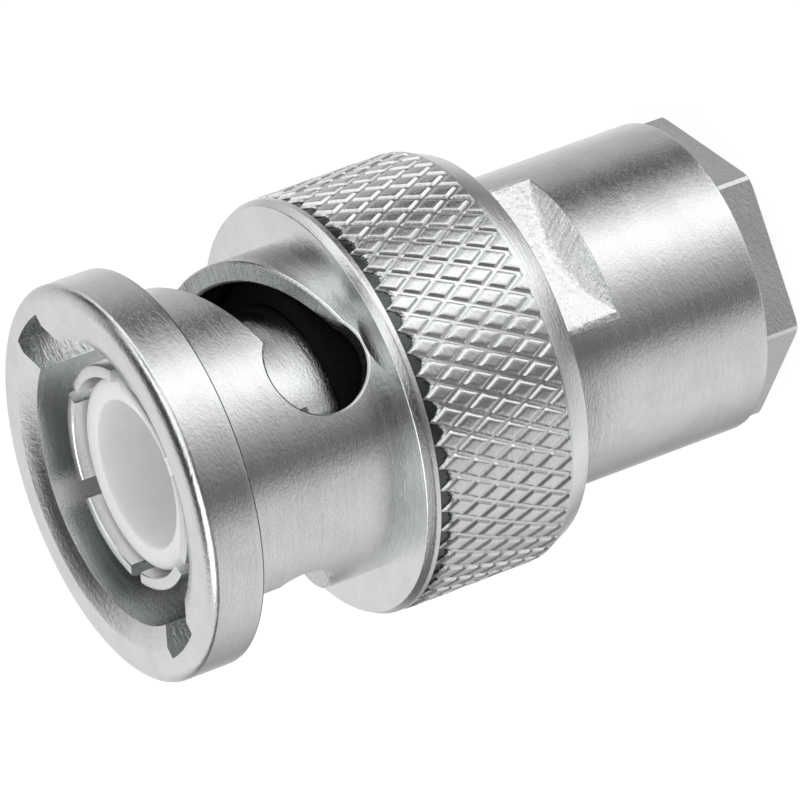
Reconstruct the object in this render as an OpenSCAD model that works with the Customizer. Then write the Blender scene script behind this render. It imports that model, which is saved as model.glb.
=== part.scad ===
// Bayonet coaxial plug with a clamp-type cable entry, standing on its hexagonal clamp nut.
// +Z runs along the axis from the cable end to the mating face. The origin is the centre of
// the clamp nut's rear face. All sizes are in millimetres.

/* [Clamp nut] */
// Distance across the flats of the clamp nut's head
nut_af = 9.2; // [8.8:0.1:9.4]
// Height of the clamp nut's head
nut_head_h = 1.3; // [1.2:0.05:3]
// Diameter of the flat rear face inside the corner chamfer
nut_face_d = 10.4; // [9.2:0.1:10.5]
// Length of the threaded shank
shank_len = 2.6; // [2.4:0.1:2.8]
// Hole for the cable's sheath
cable_hole_d = 5.4; // [4.6:0.1:5.6]
// Turn of the nut about the axis, as it was left when screwed home
nut_turn = 28; // [0:1:60]

/* [Barrel] */
// Outer diameter of the barrel
barrel_d = 10.92; // [10.7:0.02:11.4]
// Length of the barrel behind the coupling nut
barrel_len = 7.95; // [7.8:0.05:10]
// Diameter of the hole whose thread holds the clamp nut
thread_d = 8.6; // [8.4:0.1:8.8]
// Depth of the threaded hole
thread_depth = 4.95; // [4.8:0.05:5.2]
// Distance across the barrel's two wrench flats
wrench_af = 9.25; // [8.9:0.05:9.8]
// Length of the wrench flats
wrench_len = 2.55; // [2:0.05:2.7]
// Chamfer on the barrel's edges
barrel_edge = 0.1; // [0.05:0.01:0.3]

/* [Spindle and contact fingers] */
// Step on the radius from the fingers up to the spindle that the coupling nut turns on
spindle_step = 0.15; // [0.12:0.01:0.3]
// Length of the spindle
spindle_len = 6.1; // [6:0.05:6.5]
// Outer diameter of the contact fingers
finger_d = 7.8; // [7.4:0.02:8.2]
// Wall of the contact fingers
finger_wall = 0.47; // [0.4:0.01:0.55]
// Length of the contact fingers' sleeve in front of the spindle
finger_len = 7.55; // [7:0.05:8]
// Number of contact fingers
finger_count = 6; // [4:1:8]
// Width of the slots between the fingers
finger_gap = 0.62; // [0.3:0.02:0.8]
// Length of the slots between the fingers
finger_gap_len = 5.2; // [4:0.1:5.8]
// Chamfer round the finger tips
finger_edge = 0.12; // [0.05:0.01:0.18]

/* [Insulators] */
// Wall of the front insulator, round the socket that takes the mating dielectric
insulator_wall = 0.8; // [0.6:0.02:1.1]
// Depth of that socket
socket_depth = 5.8; // [5:0.1:7]
// How far the front insulator's rim sits behind the finger tips
rim_recess = 0.38; // [0.1:0.02:1]
// Rounding of the front insulator's rim
rim_round = 0.25; // [0.1:0.01:0.3]
// Hole for the centre contact
pin_hole_d = 1.4; // [1.2:0.05:1.8]
// Length of the rear insulator
rear_insulator_len = 2.6; // [2:0.1:2.8]
// Thickness of the step inside the body that parts the two insulators
step_h = 0.6; // [0.4:0.05:0.8]
// Hole through that step
step_hole_d = 4.4; // [3:0.1:5.5]

/* [Coupling nut] */
// How far the front flange stands out from the neck, on the radius
flange_step = 1.2; // [0.9:0.05:1.5]
// Thickness of the front flange
flange_h = 2; // [1.5:0.1:2.1]
// Height of the rounding on the flange's front edge
flange_round_h = 0.3; // [0.1:0.05:0.5]
// Width of that rounding, on the radius
flange_round_w = 0.65; // [0.2:0.05:0.75]
// Chamfer on the small turned edges of the nut
nut_edge = 0.08; // [0.04:0.01:0.15]
// Wall of the neck that the bayonet slots run round
neck_wall = 0.73; // [0.6:0.01:0.9]
// Length of the neck
neck_len = 6; // [6:0.05:6.6]
// Width of the lead-in cone at the mating face, on the radius
lead_in_w = 0.72; // [0.3:0.02:0.9]
// Depth of the lead-in cone
lead_in_h = 0.3; // [0.1:0.05:0.6]
// How far the points of the knurl stand out from the neck, on the radius
grip_step = 1.6; // [1.4:0.05:2]
// Thickness of the inner web that turns on the spindle
web_h = 2.42; // [2:0.02:2.6]
// Length of the chamfer on the grip's front edge
grip_chamfer_h = 0.27; // [0.1:0.01:0.4]
// Depth of that chamfer, on the radius
grip_chamfer_r = 0.14; // [0.05:0.01:0.3]
// Length of the band behind the knurl
rear_band = 0.95; // [0.5:0.01:1.2]
// How much that band tapers, on the radius
grip_taper = 0.38; // [0.1:0.01:0.6]

/* [Bayonet slots] */
// Width of the straight entries for the lugs
entry_w = 2.25; // [2.1:0.05:2.5]
// How far the lug entries reach out from the bore, on the radius
entry_reach = 1.13; // [1:0.01:1.4]
// Depth from the mating face to the end of a straight entry
entry_depth = 4.4; // [4:0.05:4.8]
// Width of the helical part of a slot
slot_w = 2.7; // [2.5:0.05:2.9]
// Turn from the entry to the locking hole
slot_turn = 90; // [80:1:100]
// Diameter of the locking hole at the slot's end
lock_d = 3.5; // [3:0.05:3.55]
// Depth from the mating face to the middle of the locking hole
lock_depth = 6.2; // [5.8:0.05:6.2]
// Where the first entry stands round the axis
entry_angle = -13; // [-90:1:90]

/* [Knurl] */
// Number of diamonds round the grip
knurl_count = 56; // [36:1:64]
// Axial length of one diamond
knurl_pitch = 1.43; // [1:0.01:1.5]
// Number of half-diamond rows along the grip
knurl_rows = 7; // [4:1:7]
// Depth of the knurl's grooves
knurl_depth = 0.3; // [0.16:0.02:0.4]
// Plain band between the knurl and the front face of the grip
front_band = 0.47; // [0.4:0.01:0.9]
// How far the plain bands lie under the knurl's points, on the radius
band_drop = 0.05; // [0.02:0.01:0.15]

/* [Washers and seals] */
// Width of the washers round the spindle, on the radius
washer_w = 0.66; // [0.5:0.01:0.8]
// Thickness of the retaining ring
ring_h = 0.58; // [0.5:0.02:0.7]
// Depth of the groove that holds the retaining ring
groove_depth = 0.25; // [0.15:0.01:0.28]
// Plain land in front of the retaining ring
ring_land = 0.2; // [0.1:0.02:0.3]
// Angle that the retaining ring leaves open
ring_opening = 40; // [20:1:80]
// Thickness of the flat washers round the spindle
washer_h = 0.4; // [0.3:0.02:0.45]
// Thickness of a wave washer's strip
wave_strip = 0.2; // [0.1:0.01:0.25]
// Number of waves in a wave washer
wave_count = 3; // [2:1:4]
// Thickness of the front seal
front_seal_h = 1.2; // [0.8:0.05:1.4]
// Thickness of the cable seal
cable_seal_h = 1.3; // [1:0.05:1.4]
// Depth of the groove in the cable seal's face
seal_groove = 0.5; // [0.2:0.05:0.7]
// Thickness of the washer between the cable seal and the clamp nut
clamp_washer_h = 0.4; // [0.3:0.05:0.45]
// Hole through the braid clamp for the cable's core
core_hole_d = 3.3; // [3:0.1:3.6]
// Length of the braid clamp's nose
clamp_nose_len = 2.2; // [1.5:0.1:2.4]
// Diameter of the braid clamp's nose at its tip
clamp_tip_d = 4.6; // [4.2:0.1:5.4]

/* [Clearances] */
// Air between two pieces that rest face to face
face_gap = 0.04; // [0.02:0.01:0.06]
// Radial air in the thread, where plain walls stand for it
thread_gap = 0.1; // [0.06:0.01:0.15]
// Radial air between the spindle and what turns or slides on it
running_gap = 0.06; // [0.03:0.01:0.09]
// Radial air round the pieces that lie loose in a bore
loose_gap = 0.15; // [0.08:0.01:0.2]
// Radial air round the insulators
insulator_gap = 0.09; // [0.03:0.01:0.12]

/* [Hidden] */

round_fn = 96;

// How far a cut runs past a face, how far two solids run into each other, and a hair's breadth
over = 1;
lap = 0.2;
hair = 0.001;

nickel = [0.78, 0.79, 0.79];
brass = [0.76, 0.66, 0.42];
spring_steel = [0.62, 0.63, 0.64];
dielectric = [0.93, 0.93, 0.92];
black_rubber = [0.05, 0.05, 0.05];

// Heights of the turned pieces, from the cable end upwards
barrel_z = nut_head_h + face_gap;
spindle_z = barrel_z + barrel_len;
finger_z = spindle_z + spindle_len;
tip_z = finger_z + finger_len;
coupling_z = spindle_z + face_gap;
knurl_bottom_z = coupling_z + rear_band;
knurl_top_z = knurl_bottom_z + knurl_rows * knurl_pitch / 2;
grip_top_z = knurl_top_z + front_band;
flange_z = grip_top_z + neck_len;
face_z = flange_z + flange_h;
web_top_z = coupling_z + web_h;
thread_end_z = barrel_z + thread_depth;

// The spring pack between the coupling nut's web and the retaining ring
ring_z = finger_z - ring_land - ring_h;
stop_washer_z = ring_z - face_gap - washer_h;
thrust_washer_z = web_top_z + face_gap;
wave_z = thrust_washer_z + washer_h + face_gap;
wave_shift = wave_strip + face_gap;
wave_h = stop_washer_z - face_gap - wave_z - wave_shift;
wave_depth = (wave_h - wave_strip) / 2;

// The cable clamp, from the clamp nut's shank forwards
cable_ring_d = thread_d - 2 * loose_gap;
clamp_washer_z = nut_head_h + shank_len + face_gap;
cable_seal_z = clamp_washer_z + clamp_washer_h + face_gap;
clamp_z = cable_seal_z + cable_seal_h + face_gap;
nose_z = thread_end_z - face_gap;
nose_top_z = nose_z + clamp_nose_len;

// Diameters of the coupling nut, outwards from the spindle through the washers that it covers
spindle_d = finger_d + 2 * spindle_step;
groove_d = spindle_d - 2 * groove_depth;
washer_hole_d = spindle_d + 2 * running_gap;
washer_d = washer_hole_d + 2 * washer_w;
coupling_bore_d = washer_d + 2 * loose_gap;
lead_in_d = coupling_bore_d + 2 * lead_in_w;
entry_reach_d = coupling_bore_d + 2 * entry_reach;
neck_d = coupling_bore_d + 2 * neck_wall;
flange_d = neck_d + 2 * flange_step;
grip_d = neck_d + 2 * grip_step;

// The insulators and the step between them
insulator_bore_d = finger_d - 2 * finger_wall;
insulator_d = insulator_bore_d - 2 * insulator_gap;
socket_d = insulator_d - 2 * insulator_wall;
rear_insulator_z = nose_top_z + face_gap;
step_z = rear_insulator_z + rear_insulator_len + face_gap;
front_insulator_z = step_z + step_h + face_gap;
rim_z = tip_z - rim_recess;

// Radii of the grip: its plain bands, the bottom of the knurl's grooves, the core inside the
// knurled sleeve, and the sleeve's own inside, which laps into the core
band_r = grip_d / 2 - band_drop;
root_r = grip_d / 2 - knurl_depth;
core_r = root_r - lap / 2;
bed_r = core_r - lap;

// Points of an arc of radius r about (x, y), from angle a to angle b in n steps
function arc(x, y, r, a, b, n) =
    [for (i = [0:n]) [x + r * cos(a + (b - a) * i / n), y + r * sin(a + (b - a) * i / n)]];

// A plain round bar or hole standing on height z
module bar(d, z, h) {
    translate([0, 0, z]) cylinder(d = d, h = h, $fn = round_fn);
}

// A flat ring standing on height z
module ring(outer_d, inner_d, z, h) {
    difference() {
        bar(outer_d, z, h);
        bar(inner_d, z - over, h + 2 * over);
    }
}

// Triangles between two rings of n points, from index a up to index b, seen from outside
function wall_faces(n, a, b) =
    [for (i = [0:n - 1], k = [0, 1])
        let (j = (i + 1) % n)
        k == 0 ? [a + i, b + i, b + j] : [a + i, b + j, a + j]];

// Triangles of a swept bar of n four-cornered sections, with flat ends
function bar_faces(n) = concat(
    [for (i = [0:n - 2], j = [0:3], k = [0, 1])
        let (a = i * 4 + j, b = i * 4 + (j + 1) % 4)
        k == 0 ? [a, b, b + 4] : [a, b + 4, a + 4]],
    [[3, 2, 1, 0], [for (j = [0:3]) (n - 1) * 4 + j]]);

// The helical part of one bayonet slot: a four-cornered section carried round the axis
slot_steps = 20;
module helical_slot() {
    inside = coupling_bore_d / 2 - over / 2;
    outside = neck_d / 2 + over / 2;
    polyhedron(
        points = [for (i = [0:slot_steps], corner = [[inside, -1], [inside, 1], [outside, 1],
                                                     [outside, -1]])
            let (part = i / slot_steps, a = entry_angle - slot_turn * part,
                 z = face_z - entry_depth - (lock_depth - entry_depth) * part)
            [corner[0] * cos(a), corner[0] * sin(a), z + corner[1] * slot_w / 2]],
        faces = bar_faces(slot_steps + 1));
}

// A hole drilled through one side of the neck, at a depth below the mating face
module side_hole(d, angle, depth, reach_d) {
    rotate([0, 0, angle]) translate([0, 0, face_z - depth]) rotate([0, 90, 0])
        cylinder(d = d, h = reach_d / 2, $fn = round_fn);
}

// One bayonet slot: straight entry, helical ramp and round locking hole
module bayonet_slot() {
    intersection() {
        rotate([0, 0, entry_angle]) translate([0, -entry_w / 2, face_z - entry_depth])
            cube([flange_d, entry_w, entry_depth + over]);
        bar(entry_reach_d, face_z - entry_depth - over, entry_depth + 3 * over);
    }
    side_hole(slot_w, entry_angle, entry_depth, entry_reach_d);
    helical_slot();
    side_hole(lock_d, entry_angle - slot_turn, lock_depth, entry_reach_d);
}

// Outline of the coupling nut's turned outside, from the axis outwards and up
module coupling_outline() {
    rear_r = band_r - grip_taper;
    polygon(concat(
        [[0, coupling_z], [rear_r - nut_edge, coupling_z]],
        [[rear_r, coupling_z + nut_edge], [band_r, knurl_bottom_z - nut_edge],
         [band_r, knurl_bottom_z], [core_r, knurl_bottom_z], [core_r, knurl_top_z],
         [band_r, knurl_top_z], [band_r, grip_top_z - grip_chamfer_h],
         [band_r - grip_chamfer_r, grip_top_z]],
        [[neck_d / 2, grip_top_z], [neck_d / 2, flange_z], [flange_d / 2 - nut_edge, flange_z],
         [flange_d / 2, flange_z + nut_edge]],
        [for (a = [0:18:90]) [flange_d / 2 - flange_round_w * (1 - cos(a)),
                              face_z - flange_round_h * (1 - sin(a))]],
        [[0, face_z]]));
}

// The knurled sleeve of the grip. Two sets of helical grooves cross at low points, and between
// every four crossings a diamond rises to one peak. Crossings and peaks take turns along each
// row of points, shifted by one from row to row, and the end rows run out at the groove's depth.
module knurl() {
    n = 2 * knurl_count;
    function radius(row, i) =
        (row + i) % 2 == 0 || row == 0 || row == knurl_rows ? root_r : grip_d / 2;
    function point(r, i, z) = [r * cos(360 * i / n), r * sin(360 * i / n), z];
    function diamond_faces(a, b, peak) = peak ? [[a, a + n, b], [b, a + n, b + n]]
        : [[a, a + n, b + n], [a, b + n, b]];
    outer = (knurl_rows + 1) * n;
    polyhedron(
        points = concat(
            [for (row = [0:knurl_rows], i = [0:n - 1])
                point(radius(row, i), i, knurl_bottom_z + row * knurl_pitch / 2)],
            [for (z = [knurl_bottom_z, knurl_top_z], i = [0:n - 1]) point(bed_r, i, z)]),
        faces = concat(
            [for (row = [0:knurl_rows - 1], i = [0:n - 1])
                each diamond_faces(row * n + i, row * n + (i + 1) % n, (row + i) % 2 == 0)],
            wall_faces(n, outer - n, outer + n),
            wall_faces(n, outer + n, outer),
            wall_faces(n, outer, 0)));
}

module coupling_nut() {
    color(nickel) difference() {
        union() {
            rotate_extrude($fn = round_fn) coupling_outline();
            knurl();
        }
        bar(washer_hole_d, coupling_z - over, web_h + 2 * over);
        bar(coupling_bore_d, web_top_z, face_z);
        translate([0, 0, face_z - lead_in_h])
            cylinder(d1 = coupling_bore_d, d2 = lead_in_d, h = lead_in_h + hair, $fn = round_fn);
        for (side = [0, 180]) rotate([0, 0, side]) bayonet_slot();
    }
}

// Outline of the body's turned outside
module body_outline() {
    polygon([
        [0, barrel_z], [barrel_d / 2 - barrel_edge, barrel_z], [barrel_d / 2, barrel_z + barrel_edge],
        [barrel_d / 2, spindle_z - barrel_edge], [barrel_d / 2 - barrel_edge, spindle_z],
        [spindle_d / 2, spindle_z], [spindle_d / 2, ring_z], [groove_d / 2, ring_z],
        [groove_d / 2, ring_z + ring_h], [spindle_d / 2, ring_z + ring_h],
        [spindle_d / 2, finger_z], [finger_d / 2, finger_z],
        [finger_d / 2, tip_z - finger_edge], [finger_d / 2 - finger_edge, tip_z], [0, tip_z]]);
}

module connector_body() {
    color(nickel) difference() {
        rotate_extrude($fn = round_fn) body_outline();
        bar(thread_d, barrel_z - over, thread_depth + over);
        bar(insulator_bore_d, thread_end_z - over, step_z - thread_end_z + over);
        bar(step_hole_d, step_z - over, step_h + 2 * over);
        bar(insulator_bore_d, step_z + step_h, tip_z);
        for (side = [0, 180]) rotate([0, 0, side])
            translate([-barrel_d, wrench_af / 2, spindle_z - wrench_len])
                cube([2 * barrel_d, barrel_d, wrench_len + over]);
        for (i = [0:finger_count - 1]) rotate([0, 0, i * 360 / finger_count])
            translate([0, -finger_gap / 2, tip_z - finger_gap_len])
                cube([finger_d, finger_gap, finger_gap_len + over]);
    }
}

module front_insulator() {
    color(dielectric) difference() {
        rotate_extrude($fn = round_fn) polygon(concat(
            [[0, front_insulator_z], [insulator_d / 2, front_insulator_z]],
            arc(insulator_d / 2 - rim_round, rim_z - rim_round, rim_round, 0, 90, 4),
            [[0, rim_z]]));
        bar(socket_d, rim_z - socket_depth, socket_depth + over);
        bar(pin_hole_d, front_insulator_z - over, rim_z);
    }
}

module rear_insulator() {
    color(dielectric) ring(insulator_d, pin_hole_d, rear_insulator_z, rear_insulator_len);
}

module front_seal() {
    color(black_rubber) ring(washer_d, finger_d + 2 * face_gap, finger_z + face_gap, front_seal_h);
}

module retaining_ring() {
    color(spring_steel) difference() {
        ring(washer_d, groove_d + 2 * face_gap, ring_z + face_gap / 2, ring_h - face_gap);
        translate([0, 0, ring_z - over]) linear_extrude(ring_h + 2 * over)
            polygon([[0, 0], for (side = [-1, 1]) coupling_bore_d *
                [cos(side * ring_opening / 2), sin(side * ring_opening / 2)]]);
    }
}

module stop_washer() {
    color(spring_steel) ring(washer_d, washer_hole_d, stop_washer_z, washer_h);
}

module thrust_washer() {
    color(spring_steel) ring(washer_d, washer_hole_d, thrust_washer_z, washer_h);
}

// A spring washer standing on height z: a flat strip that rises and falls round the axis
wave_steps = 48;
module wave_washer(z) {
    corners = [[washer_hole_d / 2, 0], [washer_d / 2, 0], [washer_d / 2, 1], [washer_hole_d / 2, 1]];
    polyhedron(
        points = [for (corner = corners, i = [0:wave_steps - 1])
            let (a = 360 * i / wave_steps)
            [corner[0] * cos(a), corner[0] * sin(a),
             z + wave_depth * (1 + cos(wave_count * a)) + corner[1] * wave_strip]],
        faces = concat([for (side = [0:3])
            each wall_faces(wave_steps, side * wave_steps, (side + 1) % 4 * wave_steps)]));
}

module lower_wave_washer() {
    color(spring_steel) wave_washer(wave_z);
}

module upper_wave_washer() {
    color(spring_steel) wave_washer(wave_z + wave_shift);
}

module braid_clamp() {
    color(brass) difference() {
        rotate_extrude($fn = round_fn) polygon([
            [0, clamp_z], [cable_ring_d / 2, clamp_z], [cable_ring_d / 2, nose_z],
            [insulator_d / 2, nose_z], [clamp_tip_d / 2, nose_top_z], [0, nose_top_z]]);
        bar(core_hole_d, clamp_z - over, nose_top_z - clamp_z + 2 * over);
    }
}

module cable_seal() {
    groove_r = (cable_ring_d + cable_hole_d) / 4;
    color(black_rubber) difference() {
        ring(cable_ring_d, cable_hole_d, cable_seal_z, cable_seal_h);
        rotate_extrude($fn = round_fn) polygon([
            [groove_r, cable_seal_z + cable_seal_h - seal_groove],
            [groove_r + seal_groove, cable_seal_z + cable_seal_h + hair],
            [groove_r - seal_groove, cable_seal_z + cable_seal_h + hair]]);
    }
}

module clamp_washer() {
    color(spring_steel) ring(cable_ring_d, cable_hole_d, clamp_washer_z, clamp_washer_h);
}

// A hexagonal head, its rear corners turned off at 30 degrees, on a plain shank
module clamp_nut() {
    corner_d = nut_af / cos(30);
    chamfer_h = (corner_d - nut_face_d) / 2 * tan(30);
    color(nickel) difference() {
        union() {
            intersection() {
                rotate([0, 0, nut_turn]) cylinder(d = corner_d, h = nut_head_h, $fn = 6);
                union() {
                    cylinder(d1 = nut_face_d, d2 = corner_d, h = chamfer_h, $fn = round_fn);
                    bar(corner_d + over, chamfer_h, nut_head_h);
                }
            }
            bar(thread_d - 2 * thread_gap, nut_head_h - lap, shank_len + lap);
        }
        bar(cable_hole_d, -over, nut_head_h + shank_len + 2 * over);
    }
}

coupling_nut();
connector_body();
front_insulator();
rear_insulator();
front_seal();
retaining_ring();
stop_washer();
upper_wave_washer();
lower_wave_washer();
thrust_washer();
braid_clamp();
cable_seal();
clamp_washer();
clamp_nut();
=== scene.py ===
# %% [markdown]
# # A bayonet coaxial plug in satin nickel
#
# The plug stands on its hexagonal clamp nut with the mating face up. Nearly all of it is turned
# metal, so the picture is made by three things: exact round shapes with small eased edges, a
# finish that shows the lathe's fine rings, and a studio whose light and dark areas the metal
# can mirror. This lesson builds them in that order of need: the frame, the camera, the studio,
# the finishes, and then each piece as a grid of points worked out with numpy.

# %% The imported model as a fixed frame
import bpy
import math
import numpy as np
from mathutils import Matrix, Vector


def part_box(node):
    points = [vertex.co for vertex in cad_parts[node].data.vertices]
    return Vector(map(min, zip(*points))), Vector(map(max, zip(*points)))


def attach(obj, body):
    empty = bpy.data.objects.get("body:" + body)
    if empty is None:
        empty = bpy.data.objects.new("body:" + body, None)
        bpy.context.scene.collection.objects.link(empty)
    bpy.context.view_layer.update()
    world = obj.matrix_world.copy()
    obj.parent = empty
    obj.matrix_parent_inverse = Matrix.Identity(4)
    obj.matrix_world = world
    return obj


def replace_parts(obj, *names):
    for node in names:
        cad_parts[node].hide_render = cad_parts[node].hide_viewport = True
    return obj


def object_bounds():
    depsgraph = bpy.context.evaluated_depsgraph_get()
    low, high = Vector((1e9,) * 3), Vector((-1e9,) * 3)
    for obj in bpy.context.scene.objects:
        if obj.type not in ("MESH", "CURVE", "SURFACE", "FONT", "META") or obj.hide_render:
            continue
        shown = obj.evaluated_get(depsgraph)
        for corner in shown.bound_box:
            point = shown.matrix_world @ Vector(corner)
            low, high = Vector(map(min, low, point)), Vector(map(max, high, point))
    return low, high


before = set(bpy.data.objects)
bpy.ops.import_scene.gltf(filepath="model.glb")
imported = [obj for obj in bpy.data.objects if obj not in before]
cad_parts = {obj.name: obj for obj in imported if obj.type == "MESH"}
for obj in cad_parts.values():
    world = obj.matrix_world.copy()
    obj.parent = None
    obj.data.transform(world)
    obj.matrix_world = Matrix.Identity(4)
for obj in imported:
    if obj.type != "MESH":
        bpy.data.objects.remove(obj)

cad_low, cad_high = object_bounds()
print("the model's own box, in mm:", [round(v * 1000, 2) for v in (*cad_low, *cad_high)])

# %% [markdown]
# ## Places
# Heights and radii are kept in millimetres, because a plug is 24 mm long and metres would hide
# every number behind zeros. The model's own boxes say where each piece sits. What a box can't
# say is written down: here for the sizes that a finish and a piece share, and otherwise next to
# the piece that needs it.

# %% Heights and radii read from the model
def span(node):
    """Lowest height, highest height and widest radius of a CAD node, in millimetres."""
    low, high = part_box(node)
    return low.z * 1000, high.z * 1000, (high.x - low.x) * 500

nut_rear, face, _ = span("coupling_nut")
barrel_rear, finger_tip, barrel_r = span("connector_body")
barrel_front = barrel_rear + 7.95
knurl_high = face - 8.47
insulator_rear, insulator_rim, insulator_r = span("front_insulator")
seal_rear, seal_front, seal_r = span("front_seal")
_, shank_top, _ = span("clamp_nut")
bore_r, neck_r, pocket_r = 4.92, 5.65, 6.05
flange_rear, flange_r = face - 2.0, 6.85
flat_half, flat_len = 4.625, 2.55
print("mating face at", round(face, 3), "mm, finger tips at", round(finger_tip, 3), "mm")

# %% [markdown]
# ## Camera
# A long lens from far away keeps the round faces nearly true ellipses, as product pictures do.
# The plug's axis leans in the picture, so the camera is rolled: its right, up and backward
# directions are the columns of its matrix, and the fourth column is where it stands.

# %% The camera
camera = bpy.data.objects.new("camera", bpy.data.cameras.new("camera"))
bpy.context.scene.collection.objects.link(camera)
bpy.context.scene.camera = camera
camera.data.sensor_width, camera.data.lens = 36, 360
camera.data.clip_start, camera.data.clip_end = 0.01, 10
right = Vector((-0.49136413, -0.19398418, -0.84907681))
up = Vector((0.76196433, -0.56795071, -0.31119503))
stand = Vector((-0.11255335, -0.21195690, face * 1e-3 + 0.1022044))
turn = Matrix((right, up, right.cross(up))).transposed()
camera.matrix_world = Matrix.Translation(stand) @ turn.to_4x4()
bpy.context.scene.view_settings.view_transform = "Standard"
print("camera stands", round(stand.length * 1000), "mm from the clamp nut's rear face")

# %% [markdown]
# ## Writing shaders as sums
# Node graphs are easier to read as formulas. A Wire wraps one output socket. Adding or
# multiplying two wires, or a wire and a number, adds the Math node that does it, and the
# reflected forms let a formula start with a number, as in 1 - mask. Everything else, such as a
# noise or a ramp, comes from one method that sets the node's settings first and its sockets next.

# %% A small class for shader formulas
class Wire:
    """One output socket of a node tree, with arithmetic."""

    def __init__(self, tree, socket=None):
        self.tree, self.socket = tree, socket

    def node(self, kind, settings=None, out=0, **inputs):
        """Adds a node: its settings are set first, then its sockets, by name with _ for a space
        or by number as i0, i1 and so on. Gives back the chosen output."""
        made = self.tree.nodes.new(kind)
        for key, value in (settings or {}).items():
            if key == "stops":
                ramp = made.color_ramp
                for place, grey in value[1:-1]:
                    ramp.elements.new(place)
                for element, (place, grey) in zip(ramp.elements, value):
                    element.position, element.color = place, (grey, grey, grey, 1)
            elif key == "interpolation" and hasattr(made, "color_ramp"):
                made.color_ramp.interpolation = value
            else:
                setattr(made, key, value)
        for key, value in inputs.items():
            number = key[1:].isdigit() and key[0] == "i"
            socket = made.inputs[int(key[1:])] if number else made.inputs[key.replace("_", " ")]
            if isinstance(value, Wire):
                self.tree.links.new(value.socket, socket)
            else:
                socket.default_value = value
        return Wire(self.tree, made.outputs[out] if len(made.outputs) else None)

    def math(self, operation, *others):
        """A Math node on this wire and up to two more wires or numbers."""
        terms = {f"i{k}": v for k, v in enumerate((self, *others))}
        return self.node("ShaderNodeMath", {"operation": operation}, **terms)

    def __add__(self, other): return self.math("ADD", other)
    def __mul__(self, other): return self.math("MULTIPLY", other)
    def __sub__(self, other): return self.math("SUBTRACT", other)
    def __truediv__(self, other): return self.math("DIVIDE", other)
    def __radd__(self, other): return self + other
    def __rmul__(self, other): return self * other
    def __rsub__(self, other): return (self * -1) + other

    def step(self, low, high, from_value=0.0, to_value=1.0):
        """Rises smoothly from one value to the other as this wire goes from low to high."""
        return self.node("ShaderNodeMapRange", {"interpolation_type": "SMOOTHSTEP"},
                         i0=self, i1=low, i2=high, i3=from_value, i4=to_value)

    def mix(self, a, b):
        """The colour a where this wire is 0 and b where it is 1."""
        return self.node("ShaderNodeMix", {"data_type": "RGBA"}, out=2, i0=self, i6=a, i7=b)

# %% [markdown]
# ## Studio
# Polished metal has hardly a colour of its own: it shows the room. Here the room is a tent in
# five levels: the ground, three walls and the roof. Each of the lower four has its own run of
# light and dark round the compass, and each level blends into the next with height. The roof is
# even but for three soft patches. A small dark card hangs under it behind the plug, and the
# ground is dark straight below. Only mirrored rays see these. The camera sees plain white, and
# dull surfaces get one even level of light, so rubber and plastic keep the colour that they are
# given. Lamps could draw the bands too, but a world that is a formula of the direction has no
# noise and no edges in the wrong place.

# %% The tent that the metal mirrors
world = bpy.data.worlds.new("studio")
bpy.context.scene.world = world
world.use_nodes = True
world.node_tree.nodes.clear()
sky = Wire(world.node_tree)
direction = sky.node("ShaderNodeTexCoord", out=0)
east = direction.node("ShaderNodeSeparateXYZ", i0=direction, out=0)
north = direction.node("ShaderNodeSeparateXYZ", i0=direction, out=1)
height = direction.node("ShaderNodeSeparateXYZ", i0=direction, out=2)
bearing = north.math("ARCTAN2", east) / (2 * math.pi) + 0.5

def compass(degrees):
    """A bearing in degrees as its place along the ramp, from 0 at -180 to 1 at 180."""
    return (degrees + 180) / 360

def tent_wall(stops):
    """Grey levels round the tent: (bearing, level) pairs, joined by a smooth curve. A ramp
    ends at 1, so it holds half of each level and is doubled after it."""
    return bearing.node("ShaderNodeValToRGB", {"interpolation": "CARDINAL", "stops": [
        (compass(degrees), level / 2) for degrees, level in stops]}, i0=bearing) * 2.0

ground = tent_wall([
    (-180, 0.50), (-166, 0.40), (-152, 0.40), (-138, 0.50), (-120, 0.66), (-102, 0.90), (-84, 1.14),
    (-66, 1.40), (-48, 1.40), (-36, 1.34), (-26, 0.74), (-18, 0.30), (-6, 0.22), (8, 0.24),
    (20, 0.34), (32, 0.42), (46, 0.62), (62, 0.85), (86, 0.60), (112, 0.90), (150, 0.82), (180, 0.50)])
low_wall = tent_wall([
    (-180, 0.77), (-165, 0.60), (-148, 0.15), (-128, 0.34), (-112, 0.62), (-100, 1.05), (-86, 1.38),
    (-72, 1.24), (-58, 0.72), (-38, 0.15), (-24, 0.15), (-10, 0.40), (20, 0.60), (48, 0.86),
    (66, 0.80), (86, 0.38), (110, 0.50), (140, 0.76), (180, 0.77)])
middle_wall = tent_wall([
    (-180, 0.20), (-112, 0.20), (-94, 0.55), (-78, 1.15), (-40, 1.15), (-14, 0.90), (16, 0.60),
    (44, 0.72), (76, 0.76), (90, 0.50), (106, 0.20), (140, 0.16), (180, 0.20)])
high_wall = tent_wall([
    (-180, 0.60), (-160, 0.40), (-136, 0.02), (-116, 0.50), (-92, 1.25), (-72, 0.65), (-56, 0.15),
    (-38, 1.10), (-20, 0.40), (2, 0.04), (30, 0.45), (54, 0.80), (130, 0.80), (180, 0.60)])

def patch(azimuth, elevation, inner, outer):
    """1 within inner degrees of a direction and 0 past outer degrees, smoothly between."""
    a, e = math.radians(azimuth), math.radians(elevation)
    way = (math.cos(a) * math.cos(e), math.sin(a) * math.cos(e), math.sin(e))
    near = direction.node("ShaderNodeVectorMath", {"operation": "DOT_PRODUCT"}, out=1,
                          i0=direction, i1=way)
    return near.step(math.cos(math.radians(outer)), math.cos(math.radians(inner)))

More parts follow.
